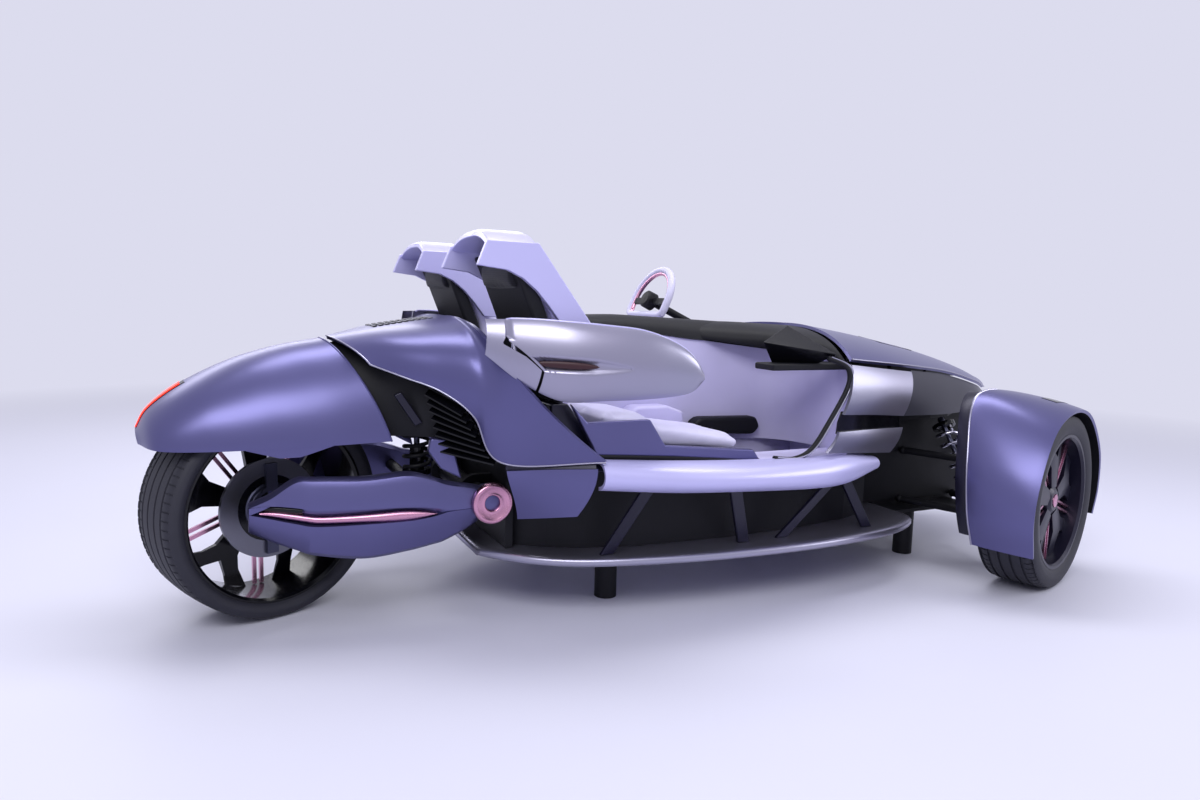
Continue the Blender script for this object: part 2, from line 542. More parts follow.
class Form:
    """Points and faces of one piece while it is drawn, in metres from the rear axle's ground point."""

    def __init__(self):
        self.points, self.faces, self.finish = [], [], []

    def add(self, points, faces, finish=0):
        start = len(self.points)
        self.points += [tuple(float(c) for c in p) for p in points]
        self.faces += [tuple(start + i for i in f) for f in faces]
        self.finish += list(finish) if isinstance(finish, list) else [finish] * len(faces)
        return self

    def between(self, outer, back, finish=0, inner=0, edge=0):
        """Closed wall between a front and a back grid of points."""
        nu, nv = outer.shape[0] - 1, outer.shape[1] - 1
        w = nv + 1
        m = (nu + 1) * w
        front = [
            (i * w + j, (i + 1) * w + j, (i + 1) * w + j + 1, i * w + j + 1)
            for i in range(nu)
            for j in range(nv)
        ]
        around = list(range(w)) + [i * w + nv for i in range(1, nu + 1)]
        around += [nu * w + j for j in range(nv - 1, -1, -1)] + [i * w for i in range(nu - 1, 0, -1)]
        rim = [(a, b, m + b, m + a) for a, b in zip(around, around[1:] + around[:1])]
        rear = [tuple(m + k for k in reversed(f)) for f in front]
        marks = (list(finish) if isinstance(finish, list) else [finish] * len(front)) + [inner] * len(rear)
        points = np.concatenate([outer.reshape(-1, 3), back.reshape(-1, 3)])
        return self.add(points, front + rear + rim, marks + [edge] * len(rim))

    def shell(self, g, wall, finish=0, inner=1, edge=0):
        """Closed wall of one thickness behind a grid of points."""
        return self.between(g, g - wall * normals(g), finish, inner, edge)

    def loft(self, rings, finish=0, closed=False):
        """Skin through rings of points, with its ends closed or joined."""
        n, k = len(rings), len(rings[0])
        spans = range(n if closed else n - 1)
        faces = [
            (i * k + j, i * k + (j + 1) % k, (i + 1) % n * k + (j + 1) % k, (i + 1) % n * k + j)
            for i in spans
            for j in range(k)
        ]
        if not closed:
            faces += [tuple(range(k)), tuple((n - 1) * k + j for j in range(k))]
        return self.add([p for r in rings for p in r], faces, finish)

    def tube(self, path, radius, finish=0, sides=12, closed=False):
        """Round tube along a path."""
        path = np.array(path, float)
        run = np.roll(path, -1, 0) - np.roll(path, 1, 0) if closed else np.gradient(path, axis=0)
        run /= np.linalg.norm(run, axis=1, keepdims=True)
        side = np.cross(run[0], [0, 0, 1] if abs(run[0][2]) < 0.9 else [0, 1, 0])
        turns = [2 * math.pi * k / sides for k in range(sides)]
        rings = []
        for p, t, r in zip(path, run, np.broadcast_to(radius, len(path))):
            side = side - t * np.dot(side, t)
            side /= np.linalg.norm(side)
            up = np.cross(t, side)
            rings.append([p + r * (math.cos(a) * side + math.sin(a) * up) for a in turns])
        return self.loft(rings, finish, closed)

    def rod(self, a, b, radius, finish=0, sides=24):
        """Straight round rod between two points."""
        return self.tube([a, b], radius, finish, sides)

    def prism(self, a, b, finish=0):
        """Solid between two outlines of as many points."""
        return self.loft([a, b], finish)

    def turned(self, profile, steps=96, finish=0, whole=True):
        """Solid turned about the y axis from a profile of radius and y."""
        angles = [2 * math.pi * k / steps for k in range(steps)]
        rings = [[(r * math.sin(a), y, r * math.cos(a)) for r, y in profile] for a in angles]
        n, k = steps, len(profile)
        spans = range(k if whole else k - 1)
        faces = [
            (i * k + j, (i + 1) % n * k + j, (i + 1) % n * k + (j + 1) % k, i * k + (j + 1) % k)
            for i in range(n)
            for j in spans
        ]
        return self.add([p for r in rings for p in r], faces, finish)

    def placed(self, matrix):
        """The same form moved by a matrix."""
        moved = Form()
        flip = matrix.determinant() < 0
        faces = [tuple(reversed(f)) for f in self.faces] if flip else self.faces
        return moved.add([matrix @ Vector(p) for p in self.points], faces, list(self.finish))

    def join(self, other):
        """Adds another form to this one."""
        return self.add(other.points, other.faces, list(other.finish))

    def both_sides(self):
        """The form and its mirror image on the other side of the car."""
        return Form().join(self).join(self.placed(Matrix.Diagonal((1, -1, 1, 1))))


def piece(name, form, finishes, body="chassis", nodes=(), bevel=0.0, sharp=35.0):
    """Makes a form into an object that rides on a body and stands for its CAD nodes."""
    mesh = bpy.data.meshes.new(name)
    mesh.from_pydata([(x + AXLE_X, y, z) for x, y, z in form.points], [], form.faces)
    for finish in finishes:
        mesh.materials.append(bpy.data.materials[finish])
    mesh.polygons.foreach_set("material_index", form.finish)
    work = bmesh.new()
    work.from_mesh(mesh)
    bmesh.ops.remove_doubles(work, verts=work.verts, dist=1e-6)
    bmesh.ops.recalc_face_normals(work, faces=work.faces)
    work.to_mesh(mesh)
    work.free()
    mesh.shade_smooth()
    made = bpy.data.objects.new(name, mesh)
    bpy.context.scene.collection.objects.link(made)
    if bevel:
        soften(made, bevel)
    else:
        mesh.set_sharp_from_angle(angle=math.radians(sharp))
    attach(made, body)
    if nodes:
        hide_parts(*nodes)
    return made


def soften(made, width):
    """Rounds an object's edges."""
    edge = made.modifiers.new("Rounded edges", "BEVEL")
    edge.width = width
    edge.segments = 2
    edge.limit_method = "ANGLE"
    edge.angle_limit = math.radians(30)
    edge.harden_normals = True


def dress(name, finish, bevel=0.0):
    """Gives a CAD node that stays in view its finish."""
    cad = frame["nodes"][name]
    for place in cad.material_slots:
        place.material = bpy.data.materials[finish]
    if bevel:
        soften(cad, bevel)


def plump(made, cap, voxel=0.008, pressure=4.0):
    """Swells a pad like stuffed fabric with cloth pressure, and keeps its skin within a cap of its start."""
    scene = bpy.context.scene
    remesh = made.modifiers.new("Even skin", "REMESH")
    remesh.mode = "VOXEL"
    remesh.voxel_size = voxel
    bpy.context.view_layer.update()
    made.data = bpy.data.meshes.new_from_object(made.evaluated_get(bpy.context.evaluated_depsgraph_get()))
    made.modifiers.clear()
    start = np.array([v.co for v in made.data.vertices])
    cloth = made.modifiers.new("Stuffing", "CLOTH")
    cloth.settings.use_pressure = True
    cloth.settings.uniform_pressure_force = pressure
    cloth.settings.quality = 5
    cloth.settings.effector_weights.gravity = 0.0
    cloth.point_cache.frame_start, cloth.point_cache.frame_end = 1, 20
    for step in range(1, 21):
        scene.frame_set(step)
    grown = made.evaluated_get(bpy.context.evaluated_depsgraph_get()).to_mesh()
    moved = np.array([v.co for v in grown.vertices]) - start
    made.modifiers.clear()
    scene.frame_set(1)
    far = np.maximum(np.linalg.norm(moved, axis=1, keepdims=True), 1e-9)
    end = start + moved * np.minimum(1.0, cap / far)
    made.data.vertices.foreach_set("co", end.ravel())
    made.data.shade_smooth()
    made.modifiers.new("Smooth skin", "SUBSURF").render_levels = 1


def corner_matrix(side):
    """Where a form drawn about a left king pin goes, on the left or the right of the car."""
    pin = JOINTS["front_steer" if side > 0 else "front_steer_right"]["pos_m"]
    axis = JOINTS["front_left_spin"]["axis"]
    turn = Matrix.Rotation(math.atan2(-axis[0], axis[1]), 4, "Z")
    return Matrix.Translation((pin[0] - AXLE_X, pin[1], pin[2])) @ turn @ Matrix.Diagonal((1, side, 1, 1))


def rear_matrix():
    """Where a form drawn about the rear hub goes."""
    hub, axis = JOINTS["rear_spin"]["pos_m"], JOINTS["rear_spin"]["axis"]
    turn = Matrix.Rotation(math.atan2(-axis[0], axis[1]), 4, "Z")
    return Matrix.Translation((0, hub[1], hub[2])) @ turn


KINGPIN_OFFSET = 0.045
# Profiles turned about a wheel's axle: radius, y
REAR_BARREL = [
    (0.2955, -0.106), (0.303, -0.109), (0.303, -0.113), (0.293, -0.113), (0.285, -0.104), (0.284, -0.060),
    (0.284, 0.060), (0.285, 0.104), (0.293, 0.113), (0.303, 0.113), (0.303, 0.109), (0.2955, 0.106),
]
REAR_NAVE = [(0.0855, -0.046), (0.109, -0.046), (0.109, 0.070), (0.104, 0.074), (0.0855, 0.074)]
REAR_DISC = [(0.108, -0.046), (0.165, -0.046), (0.165, -0.032), (0.108, -0.032)]
REAR_CARRIER = [
    (0.060, -0.046), (0.078, -0.046), (0.083, -0.042), (0.084, -0.036), (0.084, 0.036), (0.083, 0.042),
    (0.078, 0.046), (0.060, 0.046),
]
REAR_CAP = [(0.060, -0.060), (0.072, -0.060), (0.075, -0.056), (0.075, -0.046), (0.060, -0.046)]
FRONT_BARREL = [
    (0.2535, -0.090), (0.261, -0.094), (0.261, -0.098), (0.250, -0.098), (0.243, -0.088), (0.242, -0.040),
    (0.242, 0.045), (0.243, 0.088), (0.250, 0.098), (0.261, 0.098), (0.261, 0.094), (0.2535, 0.090),
]
FRONT_NAVE = [
    (0.0262, -0.0107), (0.062, -0.0107), (0.062, 0.040), (0.056, 0.058), (0.040, 0.068), (0.0262, 0.069),
]
FRONT_CAP = [(0.001, 0.0655), (0.0262, 0.0655), (0.0250, 0.072), (0.016, 0.0745), (0.001, 0.0752)]
FRONT_DISC = [
    (0.0615, -0.0107), (0.165, -0.0107), (0.165, -0.0077), (0.120, -0.0077), (0.120, 0.0003), (0.165, 0.0003),
    (0.165, 0.0033), (0.0615, 0.0033),
]
# Brake caliper's jaws and the bridge over the disc: radius, degrees from the top
CALIPER_JAW = [
    (0.176, -125), (0.192, -115), (0.196, -95), (0.192, -75), (0.176, -65), (0.118, -70), (0.112, -95),
    (0.118, -120),
]
CALIPER_BRIDGE = [(0.172, -112), (0.196, -110), (0.200, -95), (0.196, -80), (0.172, -78)]
# Where along the axle the two jaws and the bridge lie
JAW_SPANS, BRIDGE_SPANS = ((-0.034, -0.014), (0.007, 0.024)), ((-0.030, 0.020),)


def tyre_form(rim, radius, half, sizes, pitches=72):
    """Tyre with four grooves round it and short cuts in its shoulders."""
    wall = radius - rim
    side = [
        (0.80, 0.00), (0.90, 0.08), (0.955, 0.20), (0.985, 0.34), (0.998, 0.44), (1.003, 0.50), (0.998, 0.56),
    ]
    side += [(0.985, 0.68), (0.962, 0.79), (0.93, 0.87), (0.90, 0.915)]
    profile = [(y * half, rim + wall * s) for y, s in side]
    places = [(0.86, 0), (0.80, 0), (0.72, 0), (0.63, 0)]
    for middle in (0.54, 0.19, -0.19, -0.54):
        g = 0.0052 / half
        places += [(middle + g, 0), (middle + 0.7 * g, 1), (middle - 0.7 * g, 1), (middle - g, 0)]
        if middle > -0.5:
            places += [(middle - 0.17, 0)]
    places += [(-0.63, 0), (-0.72, 0), (-0.80, 0), (-0.86, 0)]
    shoulders = []
    for y, cut in places:
        shoulders.append(len(profile) if 0.6 < abs(y) else -1)
        fall = 0.006 * y**2 + (0.010 * ((abs(y) - 0.7) / 0.16) ** 2 if abs(y) > 0.7 else 0)
        profile.append((y * half, radius - fall - cut * sizes.groove_depth))
    profile += [(-y * half, rim + wall * s) for y, s in reversed(side)]
    cut_at = {k for k in shoulders if k >= 0} | {10, len(profile) - 11}
    rings = []
    for p in range(pitches):
        for share, sipe in ((0.0, 0), (0.40, 0), (0.80, 0), (0.82, 1), (0.97, 1), (0.99, 0)):
            a = 2 * math.pi * (p + share) / pitches
            ring = []
            for k, (y, r) in enumerate(profile):
                drop = sizes.sipe_depth if sipe and k in cut_at else 0.0
                ring.append(((r - drop) * math.sin(a), y, (r - drop) * math.cos(a)))
            rings.append(ring)
    return Form().loft(rings, 0, closed=True)


def blade_form(inner, rim, face, back):
    """Five forked, faceted blades of a wheel from hub to rim, and twin strips in the gaps between them."""
    form = Form()
    reach = rim - inner
    fork = [math.radians(d) for d in (27, 13)]
    plan = [
        (inner, 0.0), (inner, 0.028), (inner + 0.42 * reach, 0.042), (inner + 0.62 * reach, 0.070),
        (rim * math.cos(fork[0]), rim * math.sin(fork[0])),
        (rim * math.cos(fork[1]), rim * math.sin(fork[1])),
        (inner + 0.80 * reach, 0.038), (inner + 0.62 * reach, 0.0),
    ]
    quads = [(0, 1, 2, 7), (7, 2, 3, 6), (6, 3, 4, 5)]
    for k in range(5):
        a = 2 * math.pi * k / 5
        for hand in (1, -1):
            front, rear = [], []
            for along, across in plan:
                w = across * hand
                x, z = along * math.sin(a) + w * math.cos(a), along * math.cos(a) - w * math.sin(a)
                front.append((x, face - 0.16 * across - 0.06 * max(0, along - inner - 0.5 * reach), z))
                rear.append((x, back, z))
            faces = list(quads) + [tuple(8 + i for i in reversed(q)) for q in quads]
            faces += [(i, (i + 1) % 8, 8 + (i + 1) % 8, 8 + i) for i in range(7)]
            form.add(front + rear, faces, 0)
        b = a + math.pi / 5
        for w in (0.012, -0.012):
            ends = []
            for along in (inner + 0.02, rim - 0.004):
                c = np.array(
                    [along * math.sin(b) + w * math.cos(b), 0, along * math.cos(b) - w * math.sin(b)]
                )
                across = np.array([math.cos(b), 0, -math.sin(b)]) * 0.0062
                low, high = np.array([0, back + 0.002, 0]), np.array([0, back + 0.016, 0])
                ends.append(
                    [c - across + low, c + across + low, c + 0.7 * across + high, c - 0.7 * across + high]
                )
            form.loft(ends, 1)
    return form


def seen(tree):
    """1 for a ray from the camera, off gloss or through glass, which all see the backdrop, else 0."""
    path = node(tree, "ShaderNodeLightPath").outputs
    gloss = node(
        tree, "ShaderNodeMath", {0: path["Is Glossy Ray"], 1: path["Is Transmission Ray"]},
        operation="MAXIMUM",
    )
    both = node(
        tree, "ShaderNodeMath", {0: path["Is Camera Ray"], 1: gloss.outputs["Value"]}, operation="MAXIMUM",
    )
    return both.outputs["Value"]


class PieceOperator:
    """What the operators that make pieces share."""

    bl_options = {"REGISTER", "UNDO"}


class CAR_OT_finishes(PieceOperator, bpy.types.Operator):
    """Make the materials that the pieces take"""

    bl_idname = "car.finishes"
    bl_label = "Finishes"

    def execute(self, context):
        c = context.scene.car_colours
        paint, silver, pearl = tuple(c.body_paint), tuple(c.satin_silver), tuple(c.pale_trim)
        # Metallic paint under a satin lacquer: soft long highlights that fall off quickly to a dark violet
        sprayed(PAINT, paint, shade(paint, 0.86), 0.82, 0.34, 0.15, 1.2, 320)
        # Aluminium paint with a slight drift from cool to warm, which curved panels show as a faint tint
        sprayed(
            SILVER, silver, (silver[0] * 1.08, silver[1] * 0.97, silver[2], 1.0), 0.88, 0.30, 0.1, 1.2, 420,
        )
        # Pearl over white: a pale surface with a faint metal sheen
        sprayed(PEARL, pearl, shade(pearl, 0.93), 0.25, 0.36, 0.15, 1.2, 260)
        # Nearly black violet paint that still shows its flake in the highlights
        sprayed(DARK_PAINT, linear("#1c1a31"), linear("#161527"), 0.4, 0.34, 0.1, 1.2, 200)
        # Wine lacquer over metal in the handle slots and on the brake calipers
        sprayed(WINE, linear("#3a101c"), linear("#2b0b15"), 0.1, 0.40, 0.0, 1.2, 120)
        # Moulded lining with a fine even grain that takes the shine off
        lining = tuple(c.lining)
        grained(LINER, lining, shade(lining, 0.95), 0.52, 2.0, 0.12)
        # Leather with pebbles about 3 mm across and slightly darker creases
        leather = tuple(c.leather)
        grained(LEATHER, leather, shade(leather, 0.9), 0.48, 3.0, 0.45, **{"Sheen Weight": 0.08})
        # Threads are really 1 mm, drawn at 3 mm so that they show
        woven(CLOTH, linear("#24242e"), linear("#101017"), 3.0)
        # Polished lacquer: black with clear reflections
        grained(GLOSS, linear("#08080d"), linear("#0b0b11"), 0.14, 6.0, 0.01, **{"Specular IOR Level": 0.3})
        # Moulded composite with a fine grain
        grained(MATT, linear("#0e0e14"), linear("#14141b"), 0.55, 1.6, 0.2, **{"Specular IOR Level": 0.25})
        # Rubber with a dusty bloom over black
        rubber = tuple(c.rubber)
        grained(RUBBER, rubber, shade(rubber, 1.5), 0.62, 1.4, 0.18)
        # Anodised aluminium with fine lines along the bar
        rose = tuple(c.rose)
        brushed(ROSE, rose, shade(rose, 0.86), 0.24, 0.8, 30)
        # Polished spring steel
        brushed(STEEL, linear("#c9c7d6"), linear("#a9a7ba"), 0.22, 1.2, 4)
        # Blasted casting, even and dull
        brushed(CAST, linear("#5b5c70"), linear("#4a4b5e"), 0.42, 1.5, 1)
        # Turned brake iron with fine marks
        brushed(BRAKE, linear("#84848f"), linear("#6a6a75"), 0.34, 0.9, 2)
        # Lit lens: the light is even, so it is set on the shader itself
        lamp = tuple(c.lamp)
        lens, tree, shader, place = surface(
            LAMP, **{"Base Color": lamp, "Roughness": 0.2, "Emission Color": lamp, "Emission Strength": 1.6}
        )
        ribs = node(
            tree, "ShaderNodeTexWave", {"Vector": place, "Scale": wave_scale(6.0)}, bands_direction="Z"
        )
        bump = node(
            tree, "ShaderNodeBump", {"Height": ribs.outputs["Fac"], "Strength": 0.2, "Distance": 0.001},
        )
        tree.links.new(bump.outputs["Normal"], shader.inputs["Normal"])
        return {"FINISHED"}


class CAR_OT_tail(PieceOperator, bpy.types.Operator):
    """Make the tail cowl, its skirts and lamp, and the dark core in front of it"""

    bl_idname = "car.tail"
    bl_label = "Tail"

    def execute(self, context):
        size = context.scene.car_sizes
        cowl = crown(TAIL, 60, 40)
        form = Form().shell(cowl, size.panel_wall)
        for edge in (0, -1):
            low = cowl[:, edge]
            keep = low[(low[:, 0] > -0.07) & (low[:, 0] < 0.19)]
            ramp = np.clip(np.minimum(keep[:, 0] + 0.07, 0.19 - keep[:, 0]) / 0.100, 0.05, 1.0)
            drop = keep + np.stack([0 * ramp, 0 * ramp, -0.030 * ramp], 1)
            skin = np.stack([keep, drop], 1)
            inward = np.array([0, 0.006 if edge == 0 else -0.006, 0])
            form.between(skin + inward / 3, skin + inward, 0, 0, 0)
        piece("tail_cowl_skin", form, [PAINT, MATT], nodes=["tail_cowl"])
        lip = Form().tube(cowl[-1], size.lip_radius, 0, 8)
        piece("tail_cowl_lip", lip, [PAINT])
        ridge = patch(TAIL, 24, 8, u=(0.02, 0.38), v=(0.0, 0.06))
        strip = np.concatenate([ridge[:, :0:-1] * [1, -1, 1], ridge], axis=1)
        away = normals(strip)
        lens = Form().between(strip + 0.004 * away, strip + 0.0005 * away)
        piece("tail_lamp_lens", lens, [LAMP], nodes=["tail_lamp"])
        bed = patch(TAIL, 24, 8, u=(0.01, 0.40), v=(0.0, 0.085))
        bed = np.concatenate([bed[:, :0:-1] * [1, -1, 1], bed], axis=1)
        piece(
            "tail_lamp_bed", Form().between(bed + 0.0015 * normals(bed), bed - 0.002 * normals(bed)), [GLOSS],
        )
        core = crown(CORE, 40, 24)
        form = Form().shell(core, size.panel_wall, 0, 0)
        beam = [(-0.036, 0.747), (0.036, 0.747), (0.036, 0.780), (-0.036, 0.780)]
        form.prism([(-0.080, y, z) for y, z in beam], [(0.735, y, z) for y, z in beam])
        for skin, u, v, x in ((cowl, 40, 50, 0.055), (cowl, 25, 45, 0.0), (core, 20, 32, 0.300)):
            for hand in (0, 1):
                foot = skin[u, v] if hand else skin[u, skin.shape[1] - 1 - v]
                form.rod((x, 0, 0.764), foot - [0, 0, size.panel_wall], 0.008, 0, 12)
        piece("tail_core", form, [MATT], nodes=["tail_frame"])
        return {"FINISHED"}


class CAR_OT_deck(PieceOperator, bpy.types.Operator):
    """Make the rear deck with its slits and edge lips"""

    bl_idname = "car.deck"
    bl_label = "Rear deck"

    def execute(self, context):
        size = context.scene.car_sizes
        deck = crown(DECK, 64, 48)
        piece(
            "rear_deck_skin", Form().shell(deck, size.panel_wall), [PAINT, MATT],
            nodes=["rear_deck"],
        )
        lips = Form()
        for edge in (0, -1):
            lips.tube(deck[:, edge], size.lip_radius, 0, 8)
        lips.tube(deck[0], size.lip_radius, 0, 8)
        piece("rear_deck_lips", lips, [SILVER])
        slits = Form()
        ridge = patch(DECK, 64, 2)[:, 0]
        for x in np.arange(0.352, 0.545, 0.021):
            z = float(np.interp(x, ridge[:, 0], ridge[:, 2]))
            for s in (-1, 0, 1):
                y = s * 0.052
                rear, ahead = (x - 0.006, z + 0.003), (x + 0.007, z + 0.005)
                top = [
                    (a, y + w, c)
                    for (a, c), w in ((rear, -0.02), (ahead, -0.02), (ahead, 0.02), (rear, 0.02))
                ]
                slits.prism([(a, b, c - 0.014) for a, b, c in top], top)
        piece("deck_slits", slits, [GLOSS], bevel=0.001)
        return {"FINISHED"}


class CAR_OT_flanks(PieceOperator, bpy.types.Operator):
    """Make the lower side panels, seams, louvres, fins and struts behind the seats"""

    bl_idname = "car.flanks"
    bl_label = "Flanks"

    def execute(self, context):
        size = context.scene.car_sizes
        side = patch(LOWER_SIDE, 28, 24)
        form = Form().shell(side, size.panel_wall).both_sides()
        piece("lower_side_skins", form, [PAINT, MATT], nodes=["lower_side_panels"])
        deck = patch(DECK, 200, 1)[:, -1]
        above = np.stack([np.interp(side[:, 0, 0], deck[:, 0], deck[:, k]) for k in range(3)], 1)
        seam = np.stack([above, side[:, 0]], 1) - [0, 0.010, 0]
        form = Form().between(seam, seam - [0, 0.004, 0]).both_sides()
        piece("flank_seams", form, [DARK_PAINT])
        p, q, r, o = (np.array(corner) for corner in LOUVRE)
        s, t = np.linspace(0, 1, 17)[:, None, None], np.linspace(0, 1, 9)[None, :, None]
        back = p * (1 - s) * (1 - t) + q * (1 - s) * t + r * s * t + o * s * (1 - t)
        out = -normals(back)
        if out[8, 4, 1] < 0:
            out = -out
        form = Form().between(back, back - 0.008 * out)
        for s in range(1, 16, 2):
            low, high = back[s] + 0.026 * out[s] - [0, 0, 0.006], back[s] + 0.001 * out[s] + [0, 0, 0.004]
            slat = np.stack([low, high], 1)
            form.between(slat + [0, 0, 0.0025], slat - [0, 0, 0.0025])
        piece("side_louvre_slats", form.both_sides(), [GLOSS], nodes=["side_louvres"])
        form = Form().prism(side_view(FIN, 0.318), side_view(FIN, 0.345)).both_sides()
        piece("rear_fins", form, [PAINT], bevel=0.008)
        bar = [(0.370, 0.742), (0.393, 0.752), (0.462, 0.650), (0.438, 0.640)]
        form = Form().prism(side_view(bar, 0.262), side_view(bar, 0.280)).both_sides()
        piece("rear_struts", form, [DARK_PAINT], bevel=0.004)
        dress("rear_bulkhead", MATT)
        return {"FINISHED"}


class CAR_OT_swing_arm(PieceOperator, bpy.types.Operator):
    """Make the rear swing arm with its rose bars, pivot rings and coil-over"""

    bl_idname = "car.swing_arm"
    bl_label = "Swing arm"

    def execute(self, context):
        size = context.scene.car_sizes
        table = np.array(ARM)
        rings = []
        for k in range(73):
            x, y, top, low, mid, half = row_at(table, k / 72)
            half = max(half, 0.0008)
            depth = 0.030 * min(1.0, half / 0.012)
            i = y - ARM_WIDTH
            rings.append([
                (x, i + 0.012, top), (x, y - 0.026, top), (x, y - 0.010, top - 0.008),
                (x, y - 0.002, top - 0.028),
                (x, y, mid + half), (x, y - depth, mid + 0.8 * half), (x, y - depth, mid - 0.8 * half),
                (x, y, mid - half), (x, y - 0.006, mid - half - 0.3 * (mid - half - low)),
                (x, y - 0.026, low + 0.012),
                (x, y - 0.040, low), (x, i + 0.012, low), (x, i, low + 0.014), (x, i, top - 0.014),
            ])
        arm = Form().loft(rings)
        boss = Form().turned(
            [(0.001, 0.2868), (0.048, 0.2868), (0.050, 0.290), (0.050, 0.3612), (0.001, 0.3612)], 64,
        )
        arm.join(boss.placed(Matrix.Translation((0.669, 0, 0.389))))
        form = arm.both_sides()
        form.rod((0.669, -0.30, 0.389), (0.669, 0.30, 0.389), 0.034, 1, 32)
        form.rod((0, -0.2325, 0.353), (0, 0.2325, 0.353), 0.026, 1, 32)
        form.rod((0, 0, 0.280), (0, 0, 0.426), 0.0115, 1, 20)
        form.rod((0.480, -0.32, 0.406), (0.480, 0.32, 0.406), 0.020, 1, 32)
        piece("swing_arm_body", form, [PAINT, MATT], nodes=["swing_arm"], sharp=28)
        bars = Form()
        turns = np.linspace(0, 2 * math.pi, 20, endpoint=False)
        rings = []
        for k in range(49):
            x, half = row_at(np.array(ROSE_BAR), k / 48)
            half = max(half, 0.001)
            u = np.interp(x, table[:, 0], np.linspace(0, 1, len(table)))
            _, y, _, _, mid, _ = row_at(table, float(u))
            z = mid - 0.006
            rings.append([(x, y - 0.016 + 0.015 * math.cos(a), z + half * math.sin(a)) for a in turns])
        bars.loft(rings)
        piece("arm_rose_bars", bars.both_sides(), [ROSE], nodes=["arm_inlays"])
        tube = Form().tube(
            smooth([(-0.045, 0.240, 0.404), (0.02, 0.272, 0.402), (0.09, 0.296, 0.396)], 16), 0.011, 0, 16,
        )
        piece("arm_tubes", tube.both_sides(), [GLOSS])
        ring = [
            (0.068, 0.3618), (0.068, 0.3770), (0.0655, 0.3830), (0.0600, 0.3852), (0.0540, 0.3835),
            (0.0360, 0.3730),
            (0.0320, 0.3742), (0.0280, 0.3744), (0.0255, 0.3720), (0.0252, 0.3618),
        ]
        form = Form().turned(ring, 96).placed(Matrix.Translation((0.669, 0, 0.389))).both_sides()
        piece("pivot_ring_faces", form, [ROSE], nodes=["pivot_rings"], sharp=50)
        coil_over(
            "rear_coil_over", (0.479, -0.1275, 0.4235), (0.479, -0.1275, 0.7450), 0.042, 0.007, 6,
            "rear_shock", [MATT, GLOSS, CAST], False,
        )
        return {"FINISHED"}


def coil_over(name, low, top, radius, wire, turns, cad, finishes, mirrored):
    """Damper with its spring between two plates."""
    a, b = Vector(low), Vector(top)
    axis = (b - a).normalized()
    lift = radius + 2 * wire
    span = (b - a).length
    form = Form()
    form.rod(a, b, 0.010, 2, 20)
    form.rod(a + axis * lift * 0.5, a + axis * lift * 2.2, 0.024, 1, 32)
    for near, sign in ((a, 1), (b, -1)):
        form.rod(
            near + axis * sign * lift * 0.55, near + axis * sign * (lift - wire), radius + wire * 0.8, 1, 40,
        )
        form.rod(near + axis * sign * 0.004, near + axis * sign * lift * 0.5, 0.014, 2, 24)
    turn = axis.to_track_quat("Z", "Y").to_matrix()
    steps = turns * 28
    run = []
    for k in range(steps + 1):
        s, t = k / steps, 2 * math.pi * turns * k / steps
        run.append(
            a + turn @ Vector((radius * math.cos(t), radius * math.sin(t), lift + s * (span - 2 * lift)))
        )
    form.tube([tuple(p) for p in run], wire, 0, 10)
    return piece(name, form.both_sides() if mirrored else form, finishes, nodes=[cad])


class CAR_OT_rear_wheel(PieceOperator, bpy.types.Operator):
    """Make the rear wheel, its tyre and the steered hub in it"""

    bl_idname = "car.rear_wheel"
    bl_label = "Rear wheel"

    def execute(self, context):
        size = context.scene.car_sizes
        place = rear_matrix()
        tyre = tyre_form(0.296, 0.353, 0.128, size, 80)
        piece(
            "rear_tyre_tread", tyre.placed(place), [RUBBER], "rear_wheel", ["rear_tyre"],
            sharp=32,
        )
        rim = Form().turned(REAR_BARREL, 128, 0)
        rim.turned(REAR_NAVE, 96, 0)
        rim.join(blade_form(0.100, 0.285, 0.074, 0.048))
        rim.turned(REAR_DISC, 96, 2)
        piece(
            "rear_rim_blades", rim.placed(place), [GLOSS, ROSE, BRAKE], "rear_wheel",
            ["rear_rim"], sharp=25,
        )
        hub = Form().turned(REAR_CARRIER, 96)
        hub.turned(REAR_CAP, 72)
        for z0, z1 in ((0.070, 0.150), (-0.150, -0.070)):
            bar = [(-0.019, z0), (0.019, z0), (0.019, z1), (-0.019, z1)]
            hub.prism([(x, -0.060, z) for x, z in bar], [(x, -0.047, z) for x, z in bar])
        for k in range(6):
            a = math.radians(30 + 60 * k)
            bolt = Form().turned([(0.001, -0.0605), (0.0055, -0.0605), (0.0055, -0.066), (0.001, -0.066)], 6)
            hub.join(bolt.placed(Matrix.Translation((0.0665 * math.sin(a), 0, 0.0665 * math.cos(a)))))
        piece(
            "rear_hub_carrier", hub.placed(place), [CAST], "rear_hub", ["rear_carrier"],
            sharp=30,
        )
        return {"FINISHED"}


